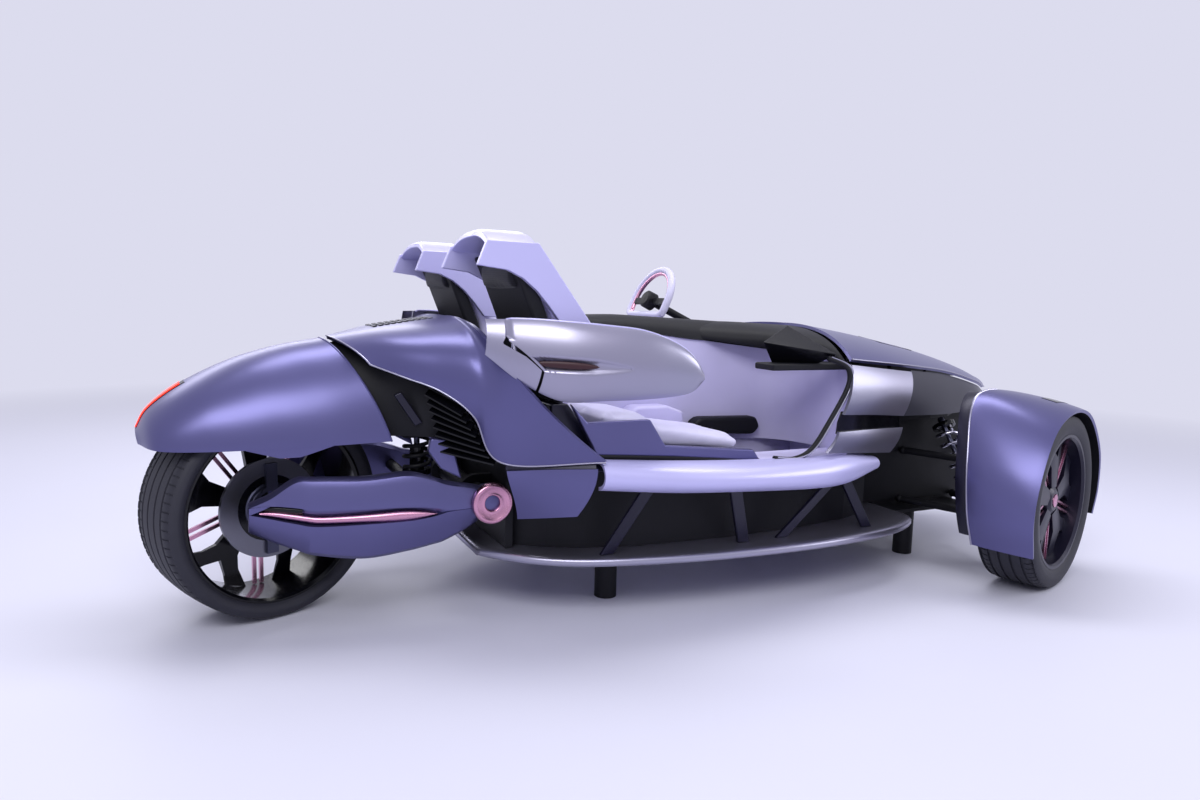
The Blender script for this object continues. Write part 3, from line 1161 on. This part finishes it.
class CAR_OT_front_wheels(PieceOperator, bpy.types.Operator):
    """Make the two front wheels with their tyres, discs and calipers"""

    bl_idname = "car.front_wheels"
    bl_label = "Front wheels"

    def execute(self, context):
        size = context.scene.car_sizes
        for side, hand in ((1, "left"), (-1, "right")):
            place = corner_matrix(side) @ Matrix.Translation((0, KINGPIN_OFFSET, 0))
            wheel = "front_wheel_" + hand
            tyre = tyre_form(0.254, 0.338, 0.107, size)
            piece(
                "front_tyre_tread_" + hand, tyre.placed(place), [RUBBER], wheel,
                ["front_tyre_" + hand], sharp=32,
            )
            rim = Form().turned(FRONT_BARREL, 128, 0)
            rim.turned(FRONT_NAVE, 72, 0)
            rim.turned(FRONT_CAP, 48, 1)
            rim.turned(FRONT_DISC, 96, 2)
            rim.join(blade_form(0.052, 0.243, 0.066, 0.036))
            piece(
                "front_rim_blades_" + hand, rim.placed(place), [DARK_PAINT, ROSE, BRAKE], wheel,
                ["front_rim_" + hand], sharp=25,
            )
            caliper = Form()
            for corners, spans in ((CALIPER_JAW, JAW_SPANS), (CALIPER_BRIDGE, BRIDGE_SPANS)):
                outline = [(r * math.sin(math.radians(d)), r * math.cos(math.radians(d))) for r, d in corners]
                for inner, outer in spans:
                    caliper.prism([(x, inner, z) for x, z in outline], [(x, outer, z) for x, z in outline])
            piece(
                "brake_caliper_" + hand, caliper.placed(place), [WINE], "knuckle_" + hand,
                bevel=0.004,
            )
            dress("knuckle_" + hand, CAST)
        return {"FINISHED"}


class CAR_OT_fenders(PieceOperator, bpy.types.Operator):
    """Make the two front fenders with their lips, liners and vents"""

    bl_idname = "car.fenders"
    bl_label = "Front fenders"

    def execute(self, context):
        size = context.scene.car_sizes
        skin = patch(FENDER, 72, 24)
        for side, hand in ((1, "left"), (-1, "right")):
            place = corner_matrix(side)
            form = Form().shell(skin, size.panel_wall)
            piece(
                "fender_skin_" + hand, form.placed(place), [PAINT, MATT], "knuckle_" + hand,
                ["fender_" + hand],
            )
            lips = Form().tube(skin[:34, 0], 0.004, 0, 8)
            piece("fender_lip_" + hand, lips.placed(place), [SILVER], "knuckle_" + hand)
            edge = skin[2:30, 0]
            near = edge + [0.020, -0.006, 0]
            far = edge + [0.026, -0.052, 0]
            flap = np.stack([near, (near + far) / 2 + [-0.004, 0, 0], far], 1)
            form = Form().between(flap, flap + [0.004, 0, 0])
            piece("fender_liner_" + hand, form.placed(place), [DARK_PAINT], "knuckle_" + hand)
            vent = patch(FENDER, 20, 10, u=(0.50, 0.62), v=(0.50, 0.70))
            out = normals(vent)
            form = Form().between(vent + 0.0015 * out, vent - 0.001 * out)
            piece("fender_vent_" + hand, form.placed(place), [GLOSS], "knuckle_" + hand)
        return {"FINISHED"}


class CAR_OT_doors(PieceOperator, bpy.types.Operator):
    """Make the two side doors with their handle recesses, and the fixed roots behind their hinges"""

    bl_idname = "car.doors"
    bl_label = "Doors"

    def execute(self, context):
        nu, nv = 180, 60
        levels = np.linspace(0, 1, nv + 1)
        splits = np.interp(levels, DOOR_SLANT, DOOR_SPLIT)
        # Behind the hinge the door swings inward, so its rear edge runs in under the thin fixed root
        tuck = np.interp(levels, TUCK_LEVELS, (1.0, 0.0))
        starts = splits - TUCK_SHARE * tuck
        door = np.concatenate([patch(DOOR, nu, 0, (s, 1.0), (t, t)) for s, t in zip(starts, levels)], axis=1)
        out = normals(door)
        x, z = door[..., 0], door[..., 2]
        # Handle recess: deepest at its rear, and run out to nothing ahead
        middle = HANDLE_LEVEL - HANDLE_FALL * (x - HANDLE[0])
        along = np.clip((x - HANDLE[0]) / (HANDLE[1] - HANDLE[0]), 0, 1)
        half = HANDLE_HALF * np.sqrt(np.clip(along * 3.2, 0, 1)) * np.clip((1.0 - along) * 3.0, 0, 1) ** 0.6
        reach = np.where((along > 0) & (along < 1), 1 - np.abs(z - middle) / np.maximum(half, 1e-4), -1)
        sunk = np.clip(reach * 1.4, 0, 1)
        sunk = sunk * sunk * (3 - 2 * sunk)
        front = door - out * (HANDLE_DEPTH * sunk * np.clip(1.15 - along, 0.2, 1))[..., None]
        let_in = TUCK_DEPTH * tuck
        inset = np.linspace(0, 1, nu + 1)[:, None] * (1 - starts)
        run = np.clip(1 - inset / TUCK_RUN_SHARE, 0, 1)
        front = front - out * (let_in * run * run * (3 - 2 * run))[..., None]
        # Thin where it hangs on its hinge and at its tip
        tip = (1.0 - np.linspace(0, 1, nu + 1))[:, None] * 6
        feather = np.minimum(
            (x - DOOR_SWELL) / DOOR_SWELL_RUN, (inset * DOOR_LENGTH - DOOR_EDGE) / DOOR_FEATHER,
        )
        thick = DOOR_WALL * np.clip(np.minimum(feather, tip), DOOR_THIN_SHARE, 1)
        back = door - np.stack([0 * x, thick + let_in, 0 * x], -1)
        form = Form().between(front, back)
        form.rod(HINGE + HINGE_SPAN[:1], HINGE + HINGE_SPAN[1:], HINGE_RADIUS, 1)
        lip = Form().tube((front[:, 0] + [0, -0.010, 0.001])[2:-4], 0.004, 0, 8)
        # Slim lens on the recess's floor
        shares = np.linspace(*GRIP_SHARES, 40)
        at = [
            np.unravel_index(np.argmin((along - s) ** 2 + ((z - middle) / 0.1) ** 2), x.shape)
            for s in shares
        ]
        turns = np.linspace(0, 2 * math.pi, 16, endpoint=False)
        floor = np.poly1d(np.polyfit(shares, [front[k][1] for k in at], 4))
        rings = []
        for share in shares:
            place = (share - sum(GRIP_SHARES) / 2) / (GRIP_SHARES[1] - GRIP_SHARES[0]) * 2
            tall = max(0.0006, GRIP_HALF * math.sqrt(max(0.0, 1 - place**2)))
            spot = HANDLE[0] + share * (HANDLE[1] - HANDLE[0])
            line = HANDLE_LEVEL - HANDLE_FALL * (spot - HANDLE[0])
            skin = floor(share) + GRIP_RISE
            rings.append([(spot, skin + GRIP_THICK * math.cos(a), line + tall * math.sin(a)) for a in turns])
        handle = Form().loft(rings)
        for side, hand in ((1, "left"), (-1, "right")):
            place, body = Matrix.Diagonal((1, side, 1, 1)), "door_" + hand
            piece(
                "door_skin_" + hand, form.placed(place), [SILVER, STEEL], body, [body],
                sharp=40,
            )
            piece("door_handle_" + hand, handle.placed(place), [WINE], body)
            piece("door_lip_" + hand, lip.placed(place), [PEARL], body)
        # Fixed strip between the deck and the door's rear edge
        ends = np.interp(levels, ROOT_LEVELS, ROOT_ENDS)
        root = np.concatenate([patch(DOOR, 10, 0, (0.0, s), (t, t)) for s, t in zip(ends, levels)], axis=1)
        form = Form().between(root, root - [0, ROOT_WALL, 0]).both_sides()
        piece("door_roots", form, [SILVER])
        return {"FINISHED"}


class CAR_OT_seats(PieceOperator, bpy.types.Operator):
    """Make the seats: bases, side shells, padded cushions, backs and headrest hoops"""

    bl_idname = "car.seats"
    bl_label = "Seats"

    def execute(self, context):
        size = context.scene.car_sizes
        middle, half = SEAT_MIDDLE, HOOP_HALF
        base, shells, edges, backs, plates = Form(), Form(), Form(), Form(), Form()
        base.prism(side_view(SEAT_BASE, middle - BASE_HALF), side_view(SEAT_BASE, middle + BASE_HALF))
        shells.prism(side_view(SEAT_SHELL, 0.592), side_view(SEAT_SHELL, 0.616))
        edges.tube(smooth(SHELL_EDGE, 24), 0.012, 0, 12)
        backs.prism(side_view(SEAT_BACK, middle - BACK_HALF), side_view(SEAT_BACK, middle + BACK_HALF))
        for y in (middle - half, middle + half - HOOP_WALL):
            plates.prism(side_view(HOOP_PLATE, y), side_view(HOOP_PLATE, y + HOOP_WALL))
        rings = []
        for s in np.linspace(-1, 1, 33):
            rise = HOOP_RISE * (1 - abs(s) ** 2.4)
            y, z = middle + (half - 0.006) * s, HOOP_TOP + rise
            x0, x1 = 0.577 + 0.012 * (1 - abs(s)), 0.738 + 0.012 * (1 - s * s)
            rings.append([
                (x0, y, z - 0.022), (x0 + 0.006, y, z - 0.006), (x0 + 0.020, y, z), (x1 - 0.030, y, z),
                (x1 - 0.010, y, z - 0.006),
                (x1, y, z - 0.020), (x1 - 0.004, y, z - 0.034), (x1 - 0.020, y, z - 0.030),
                (x0 + 0.016, y, z - 0.028),
            ])
        plates.loft(rings)
        piece(
            "seat_base_pans", base.both_sides(), [DARK_PAINT], nodes=["seat_bases"],
            bevel=0.008,
        )
        piece(
            "seat_side_shells", shells.both_sides(), [PAINT], nodes=["seat_bases"], bevel=0.007,
        )
        piece("seat_shell_edges", edges.both_sides(), [MATT])
        piece(
            "seat_back_shells", backs.both_sides(), [MATT], nodes=["seat_backs"],
            bevel=0.012,
        )
        piece(
            "headrest_hoop_plates", plates.both_sides(), [PEARL], nodes=["headrest_hoops"],
            bevel=size.edge_round,
        )
        for hand, sign in (("left", 1), ("right", -1)):
            for part, outline, width, finish, slot in (
                ("cushion", CUSHION, 0.165, LEATHER, "pale_leather"),
                ("back_pad", BACK_PAD, 0.150, LEATHER, "pale_leather"),
                ("head_pad", HEAD_PAD, 0.140, CLOTH, "black_composite"),
            ):
                y = sign * middle
                form = Form().prism(side_view(outline, y - width), side_view(outline, y + width))
                made = piece("seat_" + part + "_" + hand, form, [finish], bevel=0.014)
                plump(made, size.pad_swell * (0.4 if part == "head_pad" else 0.6))
                if part != "head_pad":
                    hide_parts("seat_cushions")
        return {"FINISHED"}


class CAR_OT_cabin(PieceOperator, bpy.types.Operator):
    """Make the cabin lining, spine, dash, visors, footwells, consoles and the frame of the door openings"""

    bl_idname = "car.cabin"
    bl_label = "Cabin"

    def execute(self, context):
        line = smooth(LINING, 64)
        steps = np.linspace(0, 1, 17)
        wall = np.array([[(x, y, CABIN_FLOOR + (z - CABIN_FLOOR) * t) for t in steps] for x, y, z in line])
        form = Form().between(wall, wall + [0.010, -0.004, 0]).both_sides()
        form.prism(side_view(SPINE, -0.0955), side_view(SPINE, 0.0955))
        piece("cabin_lining", form, [LINER], nodes=["spine"], sharp=30)
        top = crown(DASH, 32, 24)
        piece("dash_top", Form().shell(top, 0.008, 0, 0), [MATT], nodes=["dash"])
        cap = Form().shell(crown(SPINE_CAP, 48, 16), 0.006, 0, 0)
        piece("spine_cap", cap, [MATT], nodes=["spine"])
        form = Form().prism(side_view(DASH_RAIL, 0.436), side_view(DASH_RAIL, 0.547)).both_sides()
        piece("dash_rails", form, [MATT], nodes=["dash"], bevel=0.006)
        form = Form().prism(VISOR_FOOT, VISOR_TOP).both_sides()
        piece("wind_visor_wedges", form, [GLOSS], nodes=["wind_visors"], bevel=0.003)
        well = Form()
        for x0, x1, y0, y1, z0, z1 in FOOTWELL:
            ring = [(x0, y0), (x1, y0), (x1, y1), (x0, y1)]
            well.prism([(x, y, z0) for x, y in ring], [(x, y, z1) for x, y in ring])
        piece("footwell_linings", well.both_sides(), [LINER], bevel=0.001)
        edge = patch(SILL, 48, 4)[:, 0] - [0, 0.004, 0.004]
        step = np.stack([edge * [1, 0, 0] + [0, 0.412, 0.509], edge], 1)
        piece("door_steps", Form().between(step, step - [0, 0, 0.006]).both_sides(), [LINER])
        seal, lip = Form(), Form()
        path = smooth(OPENING, 72)
        seal.tube(path, 0.009, 0, 12)
        lip.tube(path + [0.012, 0.005, 0.003], 0.004, 0, 10)
        piece("opening_seals", seal.both_sides(), [MATT])
        piece("opening_lips", lip.both_sides(), [SILVER])
        form = Form().prism(side_view(CONSOLE, 0.100), side_view(CONSOLE, 0.196)).both_sides()
        piece("seat_consoles", form, [LINER], bevel=0.012)
        form = Form().prism(side_view(ARMREST, 0.104), side_view(ARMREST, 0.170)).both_sides()
        piece("spine_armrests", form, [MATT], bevel=0.014)
        return {"FINISHED"}


class CAR_OT_front_body(PieceOperator, bpy.types.Operator):
    """Make the hood, front side panels and dark nose sides"""

    bl_idname = "car.front_body"
    bl_label = "Front body"

    def execute(self, context):
        size = context.scene.car_sizes
        hood = crown(HOOD, 64, 40)
        piece("hood_skin", Form().shell(hood, size.panel_wall), [PAINT, MATT], nodes=["hood"])
        lips = Form()
        for edge in (0, -1):
            lips.tube(hood[:, edge], size.lip_radius, 0, 8)
        piece("hood_lips", lips, [SILVER])
        lid = []
        for u, v in LID_SHARES:
            lid.append(patch(HOOD, 1, 1, u=(u, u), v=(v, v))[0, 0] * [1, -1, 1] + [0, 0, 0.0004])
        groove = Form().tube(smooth(lid + lid[:1], 60)[:-1], 0.0012, 0, 6, closed=True)
        piece("charging_lid_groove", groove, [MATT])
        sides = Form()
        for table, across in ((UPPER_FRONT, 24), (LOWER_FRONT, 16)):
            sides.shell(patch(table, 36, across), size.panel_wall)
        piece(
            "front_side_skins", sides.both_sides(), [SILVER, MATT],
            nodes=["front_side_panels"],
        )
        slot = []
        for a, b in zip(patch(UPPER_FRONT, 24, 4)[:, -1], patch(LOWER_FRONT, 24, 4)[:, 0]):
            slot.append(
                [a + [0.004, -0.020, 0.010], (a + b) / 2 + [0, -0.022, 0], b + [0.004, -0.020, -0.010]]
            )
        form = Form().between(np.array(slot), np.array(slot) - [0, 0.006, 0]).both_sides()
        piece("front_side_slots", form, [GLOSS])
        form = Form().shell(patch(NOSE_SIDE, 48, 16), 0.006).both_sides()
        piece("nose_side_skins", form, [DARK_PAINT, MATT], nodes=["front_side_panels"])
        dress("nose_frame", MATT)
        return {"FINISHED"}


class CAR_OT_underbody(PieceOperator, bpy.types.Operator):
    """Make the sill blades, the floor blade and its struts, and dress the tub and posts"""

    bl_idname = "car.underbody"
    bl_label = "Sills and floor"

    def execute(self, context):
        size = context.scene.car_sizes
        sill = patch(SILL, 96, 28)
        piece(
            "sill_blade_skins", Form().shell(sill, size.panel_wall).both_sides(), [PEARL, MATT],
            nodes=["sill_blades"],
        )
        run = smooth(FLOOR, 72)
        outline = [(x, y) for x, y in run] + [(x, -y) for x, y in reversed(run)]
        centre = np.array([1.55, 0.0])
        rings = []
        for inset, z in FLOOR_RINGS:
            ring = []
            for x, y in outline:
                away = np.array([x, y]) - centre
                p = np.array([x, y]) - away / np.linalg.norm(away) * inset * (0.6 + 0.4 * abs(y) / 0.66)
                ring.append((p[0], p[1], z))
            rings.append(ring)
        piece(
            "floor_blade_wing", Form().loft(rings), [SILVER], nodes=["floor_blade"], sharp=50,
        )
        bars = Form()
        under = patch(SILL, 16, 10)
        flat = np.array([(-0.024, 0.008, 0), (0.024, 0.008, 0), (0.024, -0.008, 0), (-0.024, -0.008, 0)])
        # Row of the sill that each blade hangs from, and where it stands on the floor blade
        for row, x, y in ((2, 1.012, 0.525), (6, 1.532, 0.570), (11, 1.696, 0.570), (13, 2.107, 0.570)):
            bars.prism(flat + under[row, 9] + [0, -0.010, 0.004], flat + [x, y, 0.222])
        piece(
            "belly_blades", bars.both_sides(), [DARK_PAINT], nodes=["belly_struts"],
            bevel=0.004,
        )
        dress("lower_tub", MATT, 0.004)
        dress("battery", CAST)
        dress("display_posts", MATT, 0.003)
        return {"FINISHED"}


class CAR_OT_suspension(PieceOperator, bpy.types.Operator):
    """Make the front coil-overs and dress the arms and the rack"""

    bl_idname = "car.suspension"
    bl_label = "Front suspension"

    def execute(self, context):
        coil_over(
            "front_coil_overs", (2.736, 0.5594, 0.2543), (2.736, 0.330, 0.5877), 0.042, 0.007, 6,
            "front_shocks", [STEEL, GLOSS, CAST], True,
        )
        dress("front_arms", MATT)
        dress("steering_rack", CAST, 0.003)
        return {"FINISHED"}


class CAR_OT_steering(PieceOperator, bpy.types.Operator):
    """Make the arched steering wheel and dress its column"""

    bl_idname = "car.steering"
    bl_label = "Steering"

    def execute(self, context):
        joint = JOINTS["steering_wheel_turn"]
        hub, axis = Vector(joint["pos_m"]), Vector(joint["axis"])
        across = Vector((0, 1, 0))
        basis = Matrix((across, axis, across.cross(axis))).transposed().to_4x4()
        place = Matrix.Translation((hub[0] - AXLE_X, hub[1], hub[2])) @ basis
        arch = [(0.150 * math.cos(a), 0, 0.150 * math.sin(a)) for a in np.linspace(0, math.pi, 33)]
        foot = [
            (-0.150, 0, -0.040), (-0.144, 0, -0.060), (-0.128, 0, -0.068), (0.128, 0, -0.068),
            (0.144, 0, -0.060),
        ]
        loop = np.array(arch + foot + [(0.150, 0, -0.040)])
        grip = Form().tube(loop, 0.0165, 0, 20, closed=True)
        grip.tube(loop * [0.895, 1, 0.895], 0.009, 1, 12, closed=True)
        bar = [(-0.140, -0.016), (0.140, -0.016), (0.140, 0.012), (-0.140, 0.012)]
        grip.prism([(x, -0.007, z) for x, z in bar], [(x, 0.007, z) for x, z in bar], 2)
        grip.turned([(0.001, 0.034), (0.030, 0.033), (0.039, 0.026), (0.040, -0.016), (0.001, -0.016)], 64, 2)
        piece(
            "steering_grip", grip.placed(place), [LEATHER, ROSE, MATT], "steering_wheel",
            ["steering_wheel"],
        )
        dress("steering_column", MATT, 0.002)
        return {"FINISHED"}


class CAR_OT_stage(PieceOperator, bpy.types.Operator):
    """Make the floor, the studio light and the camera"""

    bl_idname = "car.stage"
    bl_label = "Stage"

    def execute(self, context):
        scene = context.scene
        pale = tuple(scene.car_colours.stage)
        # Painted floor that takes the car's shadow and runs out, away from the car, into the pale backdrop
        material, tree, shader, place = surface("Stage floor, painted", **{"Roughness": 0.55})
        cloud = node(
            tree, "ShaderNodeTexNoise", {"Vector": place, "Scale": pattern_scale(900), "Detail": 3.0},
        )
        tone = node(
            tree, "ShaderNodeMix", data_type="RGBA",
            inputs={"Factor": cloud.outputs["Fac"], "A": pale, "B": shade(pale, 0.97)},
        )
        tree.links.new(tone.outputs["Result"], shader.inputs["Base Color"])
        glow = node(tree, "ShaderNodeEmission", {"Color": pale})
        away = node(tree, "ShaderNodeVectorMath", {0: place}, operation="LENGTH")
        fade = node(
            tree, "ShaderNodeMapRange", {"Value": away.outputs["Value"], "From Min": 3.0, "From Max": 8.0},
        )
        share = node(tree, "ShaderNodeMath", {0: fade.outputs["Result"], 1: seen(tree)}, operation="MULTIPLY")
        blend = node(
            tree, "ShaderNodeMixShader",
            {0: share.outputs["Value"], 1: shader.outputs["BSDF"], 2: glow.outputs["Emission"]},
        )
        tree.links.new(blend.outputs["Shader"], tree.nodes["Material Output"].inputs["Surface"])
        mesh = bpy.data.meshes.new("stage_floor")
        mesh.from_pydata(
            [(-30, -30, -0.0005), (30, -30, -0.0005), (30, 30, -0.0005), (-30, 30, -0.0005)], [],
            [(0, 1, 2, 3)],
        )
        mesh.materials.append(material)
        floor = bpy.data.objects.new("stage_floor", mesh)
        scene.collection.objects.link(floor)
        # Backdrop that the camera and the gloss see, and a dimmer sky that lights the car
        world = bpy.data.worlds.new("Studio")
        world.use_nodes = True
        tree = world.node_tree
        sky = tree.nodes["Background"]
        sky.inputs["Color"].default_value = pale
        sky.inputs["Strength"].default_value = 0.5
        drop = node(tree, "ShaderNodeBackground", {"Color": pale, "Strength": 1.0})
        blend = node(
            tree, "ShaderNodeMixShader",
            {0: seen(tree), 1: sky.outputs["Background"], 2: drop.outputs["Background"]},
        )
        tree.links.new(blend.outputs["Shader"], tree.nodes["World Output"].inputs["Surface"])
        scene.world = world
        for name, spot, aim, wide, tall, power in (
            ("Key softbox", (-2.5, -4.5, 4.6), (0.0, 0.0, 0.5), 5.0, 2.4, 190),
            ("Top softbox", (0.3, 0.6, 5.2), (0.0, 0.0, 0.6), 6.0, 1.6, 170),
            ("Front fill", (4.8, -3.2, 2.6), (0.8, 0.0, 0.5), 2.6, 2.0, 70),
            ("Back strip", (-1.0, 5.0, 3.2), (0.0, 0.0, 0.6), 6.0, 1.0, 80),
        ):
            lamp = bpy.data.lights.new(name, "AREA")
            lamp.shape, lamp.size, lamp.size_y, lamp.energy = "RECTANGLE", wide, tall, power
            light = bpy.data.objects.new(name, lamp)
            light.location = spot
            light.rotation_euler = (Vector(aim) - Vector(spot)).to_track_quat("-Z", "Y").to_euler()
            scene.collection.objects.link(light)
        pitch, roll, turn = math.radians(6.784), math.radians(-1.541), math.radians(26.27)
        ahead = Vector((0, math.cos(pitch), -math.sin(pitch)))
        right, down = Vector((1, 0, 0)), Vector((0, -math.sin(pitch), -math.cos(pitch)))
        axes = [
            math.cos(roll) * right + math.sin(roll) * down,
            -(-math.sin(roll) * right + math.cos(roll) * down),
            -ahead,
        ]
        level = Matrix.Rotation(-turn, 3, "Z")
        basis = Matrix([level @ a for a in axes]).transposed()
        lens = bpy.data.cameras.new("Photo camera")
        lens.sensor_width, lens.lens = 36.0, 24.925
        camera = bpy.data.objects.new("Photo camera", lens)
        camera.matrix_world = Matrix.Translation((AXLE_X - 0.201, -2.908, 1.055)) @ basis.to_4x4()
        scene.collection.objects.link(camera)
        scene.camera = camera
        scene.view_settings.view_transform = "Standard"
        return {"FINISHED"}


PIECES = (
    CAR_OT_finishes, CAR_OT_tail, CAR_OT_deck, CAR_OT_flanks, CAR_OT_swing_arm, CAR_OT_rear_wheel,
    CAR_OT_front_wheels, CAR_OT_fenders, CAR_OT_doors, CAR_OT_seats, CAR_OT_cabin, CAR_OT_front_body,
    CAR_OT_underbody, CAR_OT_suspension, CAR_OT_steering, CAR_OT_stage,
)


class CAR_PT_pieces(bpy.types.Panel):
    """Lists the car's sizes, colours and pieces."""

    bl_idname = "CAR_PT_pieces"
    bl_label = "Three-wheeled car"
    bl_space_type = "VIEW_3D"
    bl_region_type = "UI"
    bl_category = "Car"

    def draw(self, context):
        for group in (context.scene.car_sizes, context.scene.car_colours):
            for key in group.bl_rna.properties.keys():
                if key not in ("rna_type", "name"):
                    self.layout.prop(group, key)
        for operator in PIECES:
            self.layout.operator(operator.bl_idname)


CLASSES = (CarSizes, CarColours) + PIECES + (CAR_PT_pieces,)


def register():
    for item in CLASSES:
        bpy.utils.register_class(item)
    bpy.types.Scene.car_sizes = bpy.props.PointerProperty(type=CarSizes)
    bpy.types.Scene.car_colours = bpy.props.PointerProperty(type=CarColours)


def unregister():
    del bpy.types.Scene.car_colours
    del bpy.types.Scene.car_sizes
    for item in reversed(CLASSES):
        bpy.utils.unregister_class(item)


def main():
    register()
    for operator in PIECES:
        group, name = operator.bl_idname.split(".")
        getattr(getattr(bpy.ops, group), name)()


if __name__ == "__main__":
    main()
